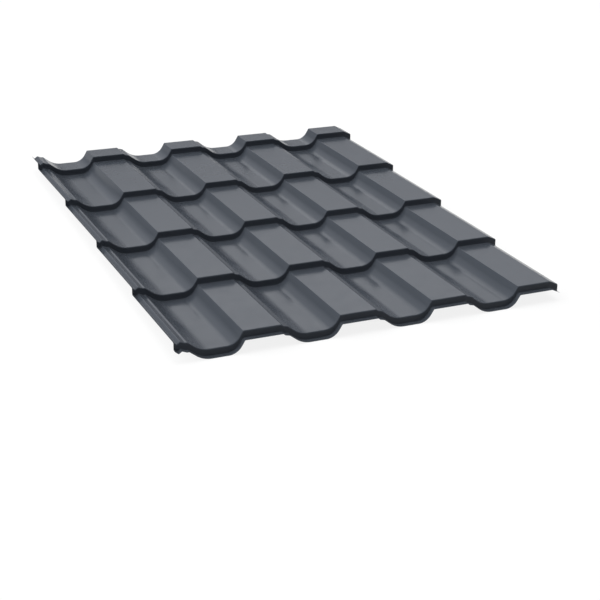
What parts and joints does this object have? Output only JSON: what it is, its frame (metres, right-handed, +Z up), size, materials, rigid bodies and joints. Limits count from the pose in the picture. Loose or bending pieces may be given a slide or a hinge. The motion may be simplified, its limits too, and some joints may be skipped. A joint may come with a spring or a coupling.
{
  "type": "tile effect metal roofing sheet",
  "caption": "Pressed steel roofing sheet: flat-topped waves run up the slope and a low riser crosses them at each row, like courses of interlocking tiles, with a side underlap and a side cover.",
  "frame": {"origin": "under the middle of the sheet, on the level surface that it lies on", "axes": "+X across the sheet from the underlap side to the cover side, +Y up the roof slope from the eaves end to the ridge end, +Z up out of the weather face"},
  "size_m": [1.1452, 1.413, 0.057],
  "materials": {
    "coated_steel": "satin"
  },
  "bodies": {
    "root": {"tile_sheet": "coated_steel"}
  },
  "joints": []
}
